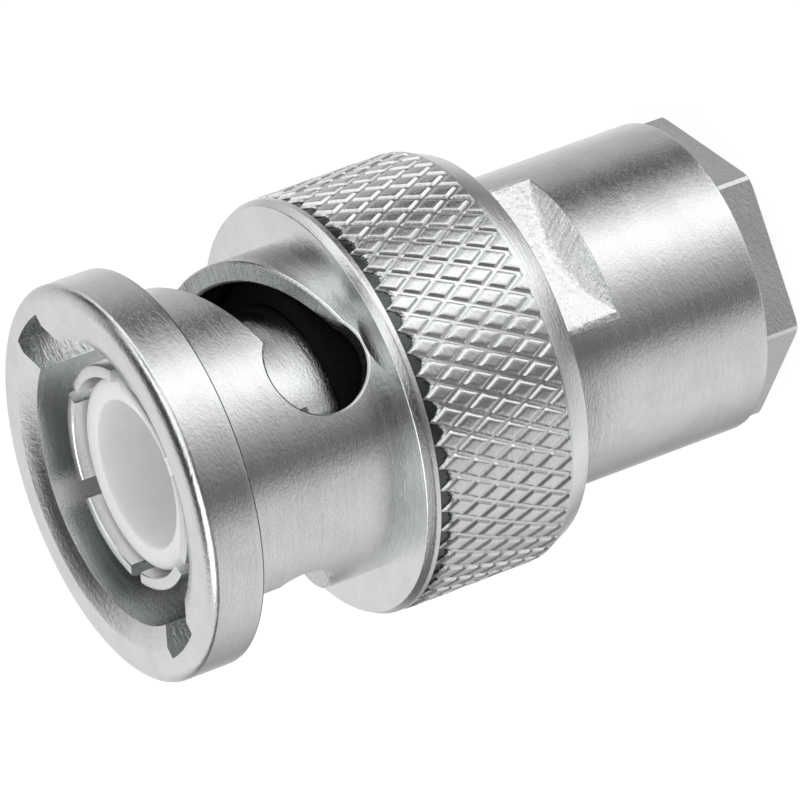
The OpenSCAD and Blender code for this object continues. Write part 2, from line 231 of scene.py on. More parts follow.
roof = (patch(45, 66, 14, 32) * -0.72 + 0.78 + patch(-105, 50, 18, 50) * 0.45
        + patch(-36, 58, 8, 22) * 0.40)
levels = [(-0.77, -0.58, low_wall), (-0.28, -0.17, middle_wall), (0.27, 0.37, high_wall),
          (0.66, 0.82, roof)]
mirrored = ground * height.step(-0.99, -0.965, 0.06, 1.0)
for start, end, above in levels:
    mirrored = height.step(start, end).mix(mirrored, above)
mirrored = mirrored.node("ShaderNodeMix", {"data_type": "RGBA"}, out=2,
                         i0=patch(50, 48, 3, 13) * 0.80, i6=mirrored, i7=(0.10, 0.10, 0.10, 1))
camera_ray = sky.node("ShaderNodeLightPath", out=0)
glossy_ray = sky.node("ShaderNodeLightPath", out=3)
plain = glossy_ray.mix((0.79, 0.79, 0.79, 1), mirrored)
seen = camera_ray.mix(plain, (1, 1, 1, 1))
background = sky.node("ShaderNodeBackground", Color=seen)
sky.node("ShaderNodeOutputWorld", Surface=background)
print("the tent has", len(world.node_tree.nodes), "nodes")

# %% [markdown]
# The floor is a wide pale plane under the clamp nut. To the camera it glows just short of white
# and adds what light falls on it, so the shadow still shows. To a mirrored ray it is clear, so the
# metal shows the tent below the horizon as it does above it. One large soft lamp gives the shadow
# its direction.

# %% Floor and lamp
def flat_square(name, half, z):
    """A square of the given half width, in metres, at height z."""
    mesh = bpy.data.meshes.new(name)
    corners = [(-half, -half, z), (half, -half, z), (half, half, z), (-half, half, z)]
    mesh.from_pydata(corners, [], [(0, 1, 2, 3)])
    return bpy.data.objects.new(name, mesh)

floor = flat_square("floor", 3.0, cad_low.z - 0.00002)
bpy.context.scene.collection.objects.link(floor)
floor_finish = bpy.data.materials.new("pale_floor")
floor_finish.use_nodes = True
floor_finish.node_tree.nodes.clear()
under = Wire(floor_finish.node_tree)
dull = under.node("ShaderNodeBsdfDiffuse", Color=(0.22, 0.22, 0.22, 1))
glow = under.node("ShaderNodeEmission", Color=(0.87, 0.87, 0.87, 1))
lit = under.node("ShaderNodeAddShader", i0=dull, i1=glow)
clear = under.node("ShaderNodeBsdfTransparent")
pale = under.node("ShaderNodeBsdfDiffuse", Color=(0.80, 0.80, 0.80, 1))
seen_ray = under.node("ShaderNodeLightPath", out=0)
mirror_ray = under.node("ShaderNodeLightPath", out=3)
solid = under.node("ShaderNodeMixShader", i0=seen_ray, i1=pale, i2=lit)
under.node("ShaderNodeOutputMaterial",
            Surface=under.node("ShaderNodeMixShader", i0=mirror_ray, i1=solid, i2=clear))
floor.data.materials.append(floor_finish)

lamp = bpy.data.objects.new("soft_lamp", bpy.data.lights.new("soft_lamp", "AREA"))
bpy.context.scene.collection.objects.link(lamp)
lamp.data.shape, lamp.data.size, lamp.data.energy = "DISK", 0.5, 0.9
lamp.location = (-0.30, 0.10, 0.60)
lamp.rotation_euler = Vector((0.30, -0.10, -0.60)).to_track_quat("-Z", "Y").to_euler()
print("floor at", round(floor.data.vertices[0].co.z * 1000, 3), "mm")

# %% [markdown]
# ## Turned nickel
# A lathe leaves fine rings: on a barrel they run round it, on a face they are circles. Both are
# one pattern if the noise is read at height plus radius, stretched along the turning. A fine
# grain makes the dark bands sparkle. The rings and the grain go into the bump and the roughness,
# because on metal the light says more than colour. Masks, which are formulas of the place, say
# where a slot cutter or an end mill left other marks, and where painted shade darkens the colour
# and painted light brightens it. Painting them by hand would be the other way, but a mask follows
# the piece's own sizes.

# %% Finishes
def finish(name):
    """A new node material, with its output, and the piece's own coordinates in millimetres."""
    made = bpy.data.materials.new(name)
    made.use_nodes = True
    made.node_tree.nodes.clear()
    wire = Wire(made.node_tree)
    here = wire.node("ShaderNodeTexCoord", out=3)
    mm = here.node("ShaderNodeVectorMath", {"operation": "SCALE"}, i0=here, Scale=1000.0)
    return made, wire, mm

def parts_of(mm):
    """Side, depth, height and radius of a point, from its coordinates."""
    x, y, z = (mm.node("ShaderNodeSeparateXYZ", i0=mm, out=k) for k in range(3))
    return x, y, z, (x * x + y * y).math("SQRT")

def noise(at, scale, detail=2.0, rough=0.5):
    """A noise value round 0.5 at the given place."""
    return at.node("ShaderNodeTexNoise", i2=scale, i3=detail, i4=rough, Vector=at)

def rings(mm, across, along, detail=5.0):
    """Noise that changes quickly with height and radius, and slowly round the axis."""
    x, y, z, r = parts_of(mm)
    at = x.node("ShaderNodeCombineXYZ", i0=x * along, i1=y * along, i2=(z + r) * across)
    return noise(at, 1.0, detail, 0.65)

def cut_marks(mm):
    """Noise that a cutter leaves when it moves towards the axis: it changes round the axis and
    with height, and stays the same along the radius."""
    x, y, z, r = parts_of(mm)
    at = x.node("ShaderNodeCombineXYZ", i0=x / r * 40.0, i1=y / r * 40.0, i2=z * 7.0)
    return noise(at, 1.0, 3.0, 0.6)

def metal(name, colour, rough, ring_depth, grain_depth, cut=None, mill=None):
    """A turned metal. Rings and grain, in thousandths of a millimetre, go into the bump, and
    both vary the roughness. cut gives the mask of a slot cutter's marks, which are duller and
    painted a little darker as shade. With it comes painted shade, much darker, in the gap in
    front of the knurl and on the flange's rear edge. mill gives a mask and a pattern for an end
    mill's marks, which are duller and painted lighter as the light that the flats catch."""
    made, wire, mm = finish(name)
    x, y, z, _ = parts_of(mm)
    along = x.node("ShaderNodeCombineXYZ", i0=x * 6.0, i1=y * 6.0, i2=z * 15.0)
    ring, grain = rings(mm, 5.0, 0.30), noise(along, 1.0, 3.0, 0.7)
    marks, worn, dark, painted_light = ring * ring_depth, 0.0, 0.0, 0.0
    if cut:
        where = cut(mm)
        marks = marks * (1 - where) + cut_marks(mm) * where * (ring_depth * 5.5)
        # Painted shade: a little on the slot's cut walls, and much in the gap in front of the knurl
        # and on the flange's rear edge.
        worn, dark = where * 0.10, (where * 0.15).math("MAXIMUM", painted_shade_mask(mm) * 0.88)
    if mill:
        where, pattern = mill(mm)
        marks = marks * (1 - where) + pattern * where * (ring_depth * 14.0)
        worn, painted_light = where * 0.12 + worn, where
    cloud = noise(mm, 0.8, 3.0)
    shade = tuple(c * 0.93 for c in colour[:3]) + (1,)
    base = (cloud * 0.6 + ring * 0.4).step(0.38, 0.60).mix(shade, colour)
    if mill:
        # Painted light: the milled flats are made lighter in colour, standing in for the light they
        # catch.
        base = painted_light.mix(base, (0.93, 0.94, 0.935, 1))
    if cut:
        # Painted shade: the colour goes towards near black where that shade is painted.
        base = dark.mix(base, (0.02, 0.025, 0.025, 1))
    roughness = (ring - 0.5) * 0.22 + (grain - 0.5) * 0.16 + rough + worn
    bump = wire.node("ShaderNodeBump", Strength=1.0, Distance=1.0,
                     Height=(marks + grain * grain_depth) * 1e-6)
    shader = wire.node("ShaderNodeBsdfPrincipled", Base_Color=base, Metallic=1.0,
                       Roughness=roughness, Normal=bump)
    wire.node("ShaderNodeOutputMaterial", Surface=shader)
    return made

def slot_cuts(mm):
    """1 on the walls that the slot cutter left, which are the only faces between the neck's
    bore and its outside, and on the entry's walls through the flange."""
    _, _, z, r = parts_of(mm)
    under_edge = z.math("LESS_THAN", face - 0.33) * z.math("GREATER_THAN", face - 8.2)
    off_bore = r.math("GREATER_THAN", bore_r + 0.04)
    neck_wall = off_bore * r.math("LESS_THAN", neck_r - 0.04)
    flange_wall = (off_bore * r.math("LESS_THAN", pocket_r + 0.05)
                   * z.math("GREATER_THAN", flange_rear + 0.02))
    return under_edge * neck_wall.math("MAXIMUM", flange_wall)

def painted_shade_mask(mm):
    """Where painted shade goes: 1 in the zigzag gap in front of the knurl and on the flange's rear
    edge, where the colour is darkened to stand in for shade."""
    _, _, z, r = parts_of(mm)
    near = z.math("GREATER_THAN", knurl_high - 0.85) * z.math("LESS_THAN", knurl_high + 0.06)
    gap = near * r.math("LESS_THAN", 7.085) * r.math("GREATER_THAN", 6.9)
    low_edge = (z.math("GREATER_THAN", flange_rear - 0.1)
                * z.math("LESS_THAN", flange_rear + 0.07))
    return gap.math("MAXIMUM", low_edge * r.math("GREATER_THAN", 6.7))

def milled_flats(mm):
    """1 on the wrench flats and the curve they end in, with the arcs that a worn end mill
    leaves across them, as rings round a point beside the flat's end."""
    x, y, z, r = parts_of(mm)
    start, off_axis = barrel_front - flat_len - 0.07, y * y
    flat = (off_axis.math("GREATER_THAN", (flat_half - 0.125) ** 2)
            * off_axis.math("LESS_THAN", (flat_half + 0.035) ** 2))
    run_out = (off_axis.math("GREATER_THAN", (flat_half - 0.025) ** 2)
               * z.math("LESS_THAN", start + 1.35) * r.math("LESS_THAN", barrel_r - 0.02))
    where = (flat.math("MAXIMUM", run_out) * z.math("GREATER_THAN", start)
             * z.math("LESS_THAN", barrel_front + 0.02))
    across, down = x + 4.5, z - (start - 3.0)
    away = (across * across + down * down).math("SQRT")
    arcs = x.node("ShaderNodeCombineXYZ", i0=away * 3.2, i1=x * 0.5, i2=z * 0.5)
    return where, noise(arcs, 1.0, 5.0, 0.7) * 0.75 + noise(mm, 3.0, 3.0, 0.6) * 0.5

nickel = metal("satin_nickel", (0.795, 0.812, 0.803, 1), 0.16, 8.0, 12.0, slot_cuts, milled_flats)
turned_brass = metal("turned_brass", (0.78, 0.60, 0.30, 1), 0.28, 10.0, 6.0)
washer_steel = metal("washer_steel", (0.62, 0.63, 0.65, 1), 0.26, 8.0, 8.0)
print("metals:", nickel.name, turned_brass.name, washer_steel.name)

# %% [markdown]
# The insulators are turned from a white fluoropolymer rod: waxy, a little translucent, with the
# tool's rings just visible. The seals are black rubber, dull and faintly speckled.

# %% Plastic and rubber
def plastic():
    """White, waxy and slightly translucent, with faint turning rings."""
    made, wire, mm = finish("white_insulator")
    ring, cloud = rings(mm, 9.0, 0.4), noise(mm, 1.1, 2.0)
    base = cloud.step(0.3, 0.7).mix((0.89, 0.89, 0.88, 1), (0.93, 0.93, 0.92, 1))
    bump = wire.node("ShaderNodeBump", Strength=1.0, Distance=1.0, Height=ring * 3e-6)
    shader = wire.node("ShaderNodeBsdfPrincipled", Base_Color=base, Normal=bump,
                       Roughness=(ring - 0.5) * 0.1 + 0.38, Subsurface_Weight=0.60,
                       Subsurface_Radius=(0.0015, 0.0015, 0.0015), Subsurface_Scale=1.0)
    wire.node("ShaderNodeOutputMaterial", Surface=shader)
    return made

def rubber():
    """Near black, dull, with a fine speckle."""
    made, wire, mm = finish("black_rubber")
    speck = noise(mm, 9.0, 4.0, 0.7)
    base = speck.step(0.35, 0.7).mix((0.003, 0.003, 0.003, 1), (0.007, 0.007, 0.007, 1))
    bump = wire.node("ShaderNodeBump", Strength=1.0, Distance=1.0, Height=speck * 8e-6)
    shader = wire.node("ShaderNodeBsdfPrincipled", Base_Color=base, Normal=bump,
                       Roughness=(speck - 0.5) * 0.2 + 0.7, Specular_IOR_Level=0.05)
    wire.node("ShaderNodeOutputMaterial", Surface=shader)
    return made

white_insulator, black_rubber = plastic(), rubber()
print("soft materials:", white_insulator.name, black_rubber.name)

# %% [markdown]
# ## Grids that become one skin
# Every piece is made of grids of points. Where two grids share an edge their points are equal, so
# welding equal points closes the skin. A quad whose two corners were welded becomes a triangle,
# and one that has no area is dropped. Faces then get smooth shading, broken at sharp edges.

# %% Skins
class Skin:
    """Gathers grids of points, in millimetres, and makes one welded mesh of them."""

    def __init__(self):
        self.points, self.faces, self.count = [], [], 0

    def quads(self, points, quads):
        """Adds loose points and the four-cornered faces between them."""
        self.points.append(points.reshape(-1, 3))
        self.faces.append(quads + self.count)
        self.count += len(self.points[-1])

    def grid(self, points, closed=False, keep=None):
        """Adds a grid of rows and columns. Faces point to the left of the rows' way when the
        columns run anticlockwise, so a profile runs up its outside. keep says which stay."""
        rows, columns = points.shape[:2]
        index = np.arange(rows * columns).reshape(rows, columns)
        if closed:
            index = np.concatenate([index, index[:, :1]], 1)
        quads = np.stack([index[:-1, :-1], index[:-1, 1:], index[1:, 1:], index[1:, :-1]], -1)
        self.quads(points, quads[keep] if keep is not None else quads.reshape(-1, 4))

    def object(self, name, sharp=32):
        """The welded mesh as an object, with its open edges and volume printed."""
        points, quads = np.concatenate(self.points), np.concatenate(self.faces)
        _, first, same = np.unique(np.round(points * 2e4).astype(np.int64), axis=0,
                                   return_index=True, return_inverse=True)
        points, quads = points[first], same.reshape(-1)[quads]
        twin = quads == np.roll(quads, -1, 1)
        folded = (quads[:, 0] == quads[:, 2]) | (quads[:, 1] == quads[:, 3])
        whole, three = (twin.sum(1) == 0) & ~folded, (twin.sum(1) == 1) & ~folded
        tris = quads[three][~twin[three]].reshape(-1, 3)
        quads = quads[whole]
        corners = np.concatenate([quads.reshape(-1), tris.reshape(-1)])
        starts = np.concatenate([np.arange(len(quads)) * 4,
                                 len(quads) * 4 + np.arange(len(tris)) * 3])
        mesh = bpy.data.meshes.new(name)
        mesh.vertices.add(len(points))
        mesh.vertices.foreach_set("co", (points * 1e-3).astype(np.float32).reshape(-1))
        mesh.loops.add(len(corners))
        mesh.loops.foreach_set("vertex_index", corners.astype(np.int32))
        mesh.polygons.add(len(starts))
        mesh.polygons.foreach_set("loop_start", starts.astype(np.int32))
        mesh.update(calc_edges=True)
        mesh.polygons.foreach_set("use_smooth", np.ones(len(starts), bool))
        mesh.set_sharp_from_angle(angle=math.radians(sharp))
        both = np.concatenate([quads[:, [0, 1, 2]], quads[:, [0, 2, 3]], tris])
        a, b, c = (points[both[:, k]] for k in range(3))
        edges = np.sort(np.concatenate([np.stack([q, np.roll(q, -1, 1)], -1).reshape(-1, 2)
                                        for q in (quads, tris)]), 1)
        uses = np.unique(edges, axis=0, return_counts=True)[1]
        print(f"{name}: {len(both)} triangles, {int((uses != 2).sum())} open edges, "
              f"{(a * np.cross(b, c)).sum() / 6:.1f} mm3")
        made = bpy.data.objects.new(name, mesh)
        bpy.context.scene.collection.objects.link(made)
        return made

def at(r, degrees, z):
    """Points from radius, angle and height, which may be arrays of one shape."""
    t = np.radians(degrees)
    r, t, z = np.broadcast_arrays(np.asarray(r, float), t, np.asarray(z, float))
    return np.stack([r * np.cos(t), r * np.sin(t), z], -1)

def eased(corners, steps=4):
    """A profile of corners (r, z, ease). Each corner with an ease becomes a parabola from that
    length before it to that length after it: (1-t)^2 a + 2t(1-t) corner + t^2 b."""
    flat = np.array([(r, z) for r, z, *_ in corners], float)
    before, after = np.roll(flat, 1, 0) - flat, np.roll(flat, -1, 0) - flat
    t = np.linspace(0, 1, steps + 1)[:, None]
    out = []
    for p, u, v, (_, _, *ease) in zip(flat, before, after, corners):
        if ease:
            a, b = p + u / np.hypot(*u) * ease[0], p + v / np.hypot(*v) * ease[0]
            out.append((1 - t) ** 2 * a + 2 * t * (1 - t) * p + t ** 2 * b)
        else:
            out.append(p[None])
    return np.concatenate(out)

def turned(skin, profile, columns=192):
    """Adds the closed profile (r, z), which runs up the outside and down the bore, turned
    round the axis."""
    loop = np.concatenate([profile, profile[:1]])
    degrees = np.arange(columns) * 360 / columns
    skin.grid(at(loop[:, :1], degrees[None], loop[:, 1:]), closed=True)

def dress(made, body, slot, finish_of, *nodes):
    """Gives a piece its finish and its body, and hides what it stands for. slot is not used."""
    made.data.materials.append(finish_of)
    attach(made, body)
    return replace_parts(made, *nodes) if nodes else made

print("a square with one eased corner has",
      len(eased([(1, 0, 0.1), (1, 1), (0, 1), (0, 0)])), "points")

# %% [markdown]
# ## The collar with its bayonet slots
# The coupling nut's front half is a thin neck with a flange. Each of the two slots starts as a
# straight entry at the mating face, turns into a helix that a round cutter made, and ends in a
# wider round hole where the lug locks. The skin is laid out by columns round the axis: the lower
# half of the neck ends at the slot's lower outline and the upper half starts at its upper
# outline. Cutting with a boolean would be shorter, but leaves long thin triangles whose
# shading flickers on polished metal, and gives no even bevel along the cut.

# %% Outlines of one slot
entry_z, lock_z, ramp_over = face - 4.4, face - 6.2, 0.36
entry_half, slot_half, lock_half, slot_turn, entry_angle = 1.125, 1.35, 1.75, 90.0, -13.0
bevel = 0.08

def reach(half, r):
    """The angle, in degrees, at which a hole of that half width ends on radius r."""
    return np.degrees(np.arcsin(half / r))

def slope(degrees):
    """Height of the slot's middle at an angle from the entry, 0, to the ramp's end, -90, which
    lies a little below the locking hole's middle, so that the lug springs back into the hole."""
    return entry_z + (entry_z - lock_z + ramp_over) * degrees / slot_turn

def crossing(r, side, grow):
    """Polar angle on the locking hole where the helix's lower (-1) or upper (1) edge meets it,
    found by going round the two formulas until they agree."""
    hole, half = lock_half + grow, slot_half + grow
    across = 0.9
    for _ in range(60):
        rise = (slope(-slot_turn + reach(across, r)) - lock_z) * side + half
        across = 0.5 * across + 0.5 * np.sqrt(max(hole ** 2 - rise ** 2, 0.0))
    return np.degrees(np.arctan2(side * rise, across))

def lower_outline(r, grow, arc=44, ramp=24, end=16):
    """Angles and heights along the slot's lower edge: the locking hole from its far side round
    its bottom, the helix, and the cutter's round end under the entry."""
    hole, half = lock_half + grow, slot_half + grow
    turn = np.radians(np.linspace(180, 360 + crossing(r, -1, grow), arc))
    a1, z1 = -slot_turn + reach(hole * np.cos(turn), r), lock_z + hole * np.sin(turn)
    a2 = np.linspace(a1[-1], 0, ramp)[1:]
    turn = np.radians(np.linspace(270, 360, end))[1:]
    a3, z3 = reach(half * np.cos(turn), r), entry_z + half * np.sin(turn)
    return np.concatenate([a1, a2, a3]), np.concatenate([z1, slope(a2) - half, z3])

def upper_outline(r, grow, arc=34, ramp=26):
    """Angles and heights along the upper edge, from the locking hole's far side over its top
    and up the helix to the entry."""
    hole, half = lock_half + grow, slot_half + grow
    turn = np.radians(np.linspace(180, crossing(r, 1, grow), arc))
    a1, z1 = -slot_turn + reach(hole * np.cos(turn), r), lock_z + hole * np.sin(turn)
    a2 = np.linspace(a1[-1], -reach(entry_half, r), ramp)[1:]
    return np.concatenate([a1, a2]), np.concatenate([z1, slope(a2) + half])

def corner_outline(r, grow, end=9):
    """Angles and heights of the small arc between the entry and the cutter's round end."""
    half = slot_half + grow
    turn = np.radians(np.linspace(np.degrees(np.arccos(entry_half / half)), 0, end))
    return reach(half * np.cos(turn), r), entry_z + half * np.sin(turn)

print("lower outline has", len(lower_outline(neck_r, 0)[0]), "points")

# %% The collar's skin
def between(a, b, count):
    """Even steps from the array a to the array b, as rows."""
    t = np.linspace(0, 1, count)[:, None]
    return a[None] * (1 - t) + b[None] * t

plain_columns, entry_columns, neck_rows = 44, 22, 7
lead_r = bore_r + 0.72

def far_side(r, grow):
    """Angles and heights of the plain wall between two slots, along the line that parts it."""
    start, end = reach(slot_half + grow, r), 180 - slot_turn - reach(lock_half + grow, r)
    t = np.linspace(0, 1, plain_columns)[1:-1]
    return start + (end - start) * t, entry_z + (lock_z - entry_z) * t

def lower_collar(skin, turn):
    """The neck below one slot, and half of the plain wall beside it. Rows run up the outside,
    over the slot's cut wall and down the bore."""
    foot, slot_columns = nut_rear + 2.12, len(lower_outline(neck_r, 0)[0])
    def edge(r, grow):
        """Angles and heights of the half's upper edge: the slot, then the plain wall."""
        a, z = lower_outline(r, grow)
        b, y = far_side(r, grow)
        return np.concatenate([a, b, a[:1] + 180]), np.concatenate([z, y, z[:1]])
    outer, inner = edge(neck_r, bevel), edge(bore_r, bevel)
    lip, sill = edge(neck_r - bevel, 0), edge(bore_r + bevel, 0)
    heights = between(np.full_like(outer[1], foot), outer[1], 6)
    rows = [at(bore_r, inner[0], foot)] + [at(neck_r, outer[0], z) for z in heights]
    cut = len(rows) - 1
    rows += [at(neck_r - bevel, *lip), at(bore_r + bevel, *sill)]
    rows += [at(bore_r, inner[0], z) for z in between(inner[1], np.full_like(inner[1], foot), 6)]
    keep = np.ones((len(rows) - 1, len(outer[0]) - 1), bool)
    keep[cut:cut + 3, slot_columns - 1:] = False
    skin.grid(spin(np.stack(rows), turn), keep=keep)

def spin(points, degrees):
    """Points turned round the axis."""
    c, s = math.cos(math.radians(degrees)), math.sin(math.radians(degrees))
    return points @ np.array([[c, s, 0], [-s, c, 0], [0, 0, 1]])

flange_profile = np.concatenate([
    eased([(pocket_r, flange_rear), (flange_r, flange_rear, 0.10), (flange_r, face - 0.9)], 3)[1:-1],
    [[flange_r, z] for z in np.linspace(flange_rear + 0.3, face - 0.32, 5)],
    [[flange_r - 0.65 * (1 - math.cos(a)), face - 0.3 * (1 - math.sin(a))]
     for a in np.linspace(0, math.pi / 2, 14)]])

def upper_collar(skin, turn):
    """The neck above one slot with the flange, the entry's pocket and half of the plain wall.
    Columns go from the locking hole to the entry, round the pocket, past the small corner and
    along the plain wall. Rows run from the cut up the neck, round the flange and down the bore."""
    pocket = np.linspace(-1, 1, entry_columns) * reach(entry_half, pocket_r)
    def edge(r, grow):
        """Angles and heights of the half's lower edge: up to the pocket, and past it."""
        left, right, plain = upper_outline(r, grow), corner_outline(r, grow), far_side(r, grow)
        return left, (np.concatenate([right[0], plain[0], left[0][:1] + 180]),
                      np.concatenate([right[1], plain[1], left[1][:1]]))
    def out(a, r):
        """Angles a of a half's columns on the neck, eased so that they meet the pocket's edge
        on radius r and stay put at the far end."""
        near = a[-1] if abs(a[-1]) < abs(a[0]) else a[0]
        far = a[0] if abs(a[-1]) < abs(a[0]) else a[-1]
        target = math.copysign(reach(entry_half, r), near)
        return far + (a - far) * (target - far) / (near - far)
    lip, sill = edge(neck_r - bevel, 0), edge(bore_r + bevel, 0)
    outer, inner = edge(neck_r, bevel), edge(bore_r, bevel)
    arc_rear, arc_front = (at(pocket_r, pocket, z) for z in (flange_rear, face))
    def full(halves, arc):
        """One row of all the columns: a half on each side of the pocket's arc."""
        return np.concatenate([halves[0], arc, halves[1]])
    def eased_row(r, z, arc, edge_r=pocket_r):
        """A row at radius r and height z whose halves are eased to the pocket's edge."""
        return full([at(r, out(outer[k][0], edge_r), z) for k in (0, 1)], arc)
    rows = [full([at(bore_r + bevel, *sill[0]), at(bore_r + bevel, *sill[1])], arc_rear),
            full([at(neck_r - bevel, *lip[0]), at(neck_r - bevel, *lip[1])], arc_rear)]
    steps = [between(outer[k][1], np.full_like(outer[k][1], flange_rear), neck_rows) for k in (0, 1)]
    for j in range(neck_rows):
        rows.append(full([at(neck_r, outer[k][0], steps[k][j]) for k in (0, 1)], arc_rear))
    neck_top = len(rows) - 1
    rows.append(eased_row(pocket_r, flange_rear, arc_rear))
    rows += [eased_row(r, z, at(r, pocket, z)) for r, z in flange_profile]
    rows.append(eased_row(pocket_r, face, arc_front))
    rows += [eased_row(r, face, arc_front, r) for r in (lead_r + 0.03, lead_r)]
    for z in np.linspace(face - 0.3, flange_rear, 6):
        rows.append(full([at(bore_r, inner[k][0], z) for k in (0, 1)], at(pocket_r, pocket, z)))
    bore_top = len(rows) - 1
    steps = [between(np.full_like(inner[k][1], flange_rear), inner[k][1], neck_rows) for k in (0, 1)]
    for j in range(1, neck_rows):
        rows.append(full([at(bore_r, inner[k][0], steps[k][j]) for k in (0, 1)], arc_rear))
    rows.append(rows[0])
    grid = spin(np.stack(rows), turn)
    left, right_start = len(outer[0][0]) - 1, len(outer[0][0]) + entry_columns - 1
    keep = np.ones((len(rows) - 1, grid.shape[1] - 1), bool)
    keep[:neck_top + 1, [left, right_start]] = False
    keep[bore_top - 1:, [left, right_start]] = False
    corner = len(corner_outline(neck_r, 0)[0]) - 1
    keep[[0, 1, -1], right_start + 1 + corner:] = False
    skin.grid(grid, keep=keep)
    # The lowest piece of the flange's side walls ends on the neck's top, so it gets its corner
    for k, arc, order in ((left, left + 1, ((0, 1, 2, 3), (0, 3, 4, 4))),
                          (right_start + 1, right_start, ((3, 2, 1, 0), (4, 4, 3, 0)))):
        corners = [grid[bore_top - 1, k], grid[bore_top - 1, arc], grid[bore_top, arc],
                   grid[neck_top, k], grid[bore_top, k]]
        skin.quads(np.stack(corners), np.array(order))
    # The entry's two side walls through the neck: from the bore's edge to the neck's edge
    for column, flip in ((left, False), (right_start + 1, True)):
        outside = np.concatenate([grid[1:2, column], grid[2:neck_top + 1, column]])
        inside = np.concatenate([grid[0:1, column], grid[bore_top:-1, column][::-1]])
        wall = np.stack([outside, inside], 1)
        skin.grid(wall[:, ::-1] if flip else wall)

print("the flange's profile has", len(flange_profile), "points")

# %% [markdown]
# ## The knurl
# A diamond knurl is two sets of helical grooves rolled into the grip. The grid follows the
# grooves: one direction of the grid runs along one set and the other along the other, so every
# groove's bottom is a row of points and stays crisp. Along a groove's cross-section the steps are
# close together on the slope and wide on the flat top. At the front end of the grip the tips of
# the half diamonds are pressed down, which leaves a zigzag gap behind the front band.

# %% The knurled grip's skin
diamonds, rows_high, diamond_long = 56, 7, 1.43
knurl_top_r, knurl_root_r, band_r = 7.23, 7.135, 7.20
knurl_low = knurl_high - rows_high * diamond_long / 2
fine = np.array([0, .06, .165, .205, .35, .5, .65, .795, .835, .94])
groove_rise = ([0, .06, .165, .205], [0, .05, .90, 1])
substeps, pressed_rows, pressed_rise, wobble_repeat = len(fine), 6, -0.9, 97

def knurl_lattice(seed=4):
    """Points on the two families of grooves, by row and column. With u and v counting grooves
    of each family, the angle is (u - v) / 2 diamonds and the height (u + v) / 2 diamonds. The
    radius is the root's plus the lesser of the two grooves' rises, and each diamond's rise is a
    little its own. The pressed tips at the front lie below the root."""
    rows = np.arange(rows_high * substeps + 1)[:, None]
    columns = np.arange(diamonds * substeps)[None]
    i = (rows + rows % 2) // 2 + columns
    j = rows - i
    u, v = i // substeps + fine[i % substeps], j // substeps + fine[j % substeps]
    rise = lambda w: np.interp(0.5 - np.abs(w % 1 - 0.5), *groove_rise)
    cell = i // substeps + j // substeps + 1
    wobble = np.random.RandomState(seed).uniform(0.86, 1.0, (diamonds * 2, diamonds * 2))
    own = wobble[(i // substeps) % diamonds, (j // substeps) % wobble_repeat]
    pressed = (cell >= rows_high) & (rows > rows_high * substeps - pressed_rows)
    height = np.where(pressed, pressed_rise, np.minimum(rise(u), rise(v)) * own)
    r = knurl_root_r + (knurl_top_r - knurl_root_r) * height
    return r, (u - v) * 180 / diamonds, knurl_low + (u + v) * diamond_long / 2

def knurl_faces(rows, columns):
    """Quads of the lattice: from each point to its right, its top and its left neighbours,
    which lie one and two rows up. The end rows are closed by triangles."""
    index = np.arange(rows * columns).reshape(rows, columns)
    quads = []
    for first, r_shift, l_shift in ((0, 0, 1), (1, -1, 0)):
        low, mid, top = index[first:-2:2], index[first + 1:-1:2], index[first + 2::2]
        quads.append(np.stack([low, np.roll(mid, r_shift, 1), top, np.roll(mid, l_shift, 1)], -1))
    near, over = index[0], index[1]
    quads.append(np.stack([np.roll(near, -1), over, near, near], -1))
    near, under = index[-1], index[-2]
    quads.append(np.stack([under, np.roll(near, -1), near, near], -1))
    return np.concatenate([q.reshape(-1, 4) for q in quads])

def grip(skin):
    """The lattice, closed by the grip's turned rear band, front band, face and web."""
    r, degrees, z = knurl_lattice()
    lattice = at(r, degrees, z)
    skin.quads(lattice, knurl_faces(*lattice.shape[:2]))
    low, high = degrees[0], degrees[-1]
    grip_front, hub_r, hidden_r, web_front = knurl_high + 0.47, 4.11, 5.3, nut_rear + 2.42
    front = eased([(knurl_root_r, knurl_high), (band_r, knurl_high, 0.03),
                   (band_r, grip_front - 0.27, 0.04), (band_r - 0.14, grip_front, 0.03),
                   (hidden_r, grip_front)])
    inner = np.array([(hidden_r, web_front), (hub_r, web_front)])
    rear = eased([(hub_r, nut_rear), (band_r - 0.38, nut_rear, 0.09),
                  (band_r, knurl_low - 0.08, 0.05), (band_r, knurl_low, 0.02),
                  (knurl_root_r, knurl_low)])
    rows = [lattice[-1]] + [at(a, high, b) for a, b in front[1:]]
    rows += [at(a, low, b) for a, b in np.concatenate([inner, rear[:-1]])] + [lattice[0]]
    skin.grid(np.stack(rows), closed=True)

coupling = Skin()
for half_turn in (0, 180):
    lower_collar(coupling, entry_angle + half_turn)
    upper_collar(coupling, entry_angle + half_turn)
grip(coupling)
dress(coupling.object("coupling_nut_turned"), "bayonet", "plated_brass", nickel, "coupling_nut")

# %% [markdown]
# ## Barrel, spindle and contact fingers
# The body is one turning: the barrel with two wrench flats, the spindle inside the coupling nut
# and the thin sleeve that is sawn into six springy fingers. A flat is the round profile held in
# to a distance from the middle: the radius is the smaller of the barrel's and distance / sine.
# Its rear end is the curve in which the cutter ran out.

# %% The body's skin
spindle_front, spindle_r = barrel_rear + 14.05, 4.05
finger_r, finger_bore, finger_half, saw_depth = 3.90, 3.43, 0.31, 5.2
hole_r, hole_end, hub_hole_r, hub_rear, hub_front = 4.30, 4.95, 2.2, 9.79, 10.39
run_out_rise = 1.4
saw_z = finger_tip - saw_depth
edge_angle = math.degrees(math.asin(flat_half / barrel_r))
quarter = [np.linspace(-edge_angle, edge_angle, 97)[:-1],
           np.linspace(edge_angle, 180 - edge_angle, 49)[:-1]]
round_columns = np.concatenate(quarter + [q + 180 for q in quarter])

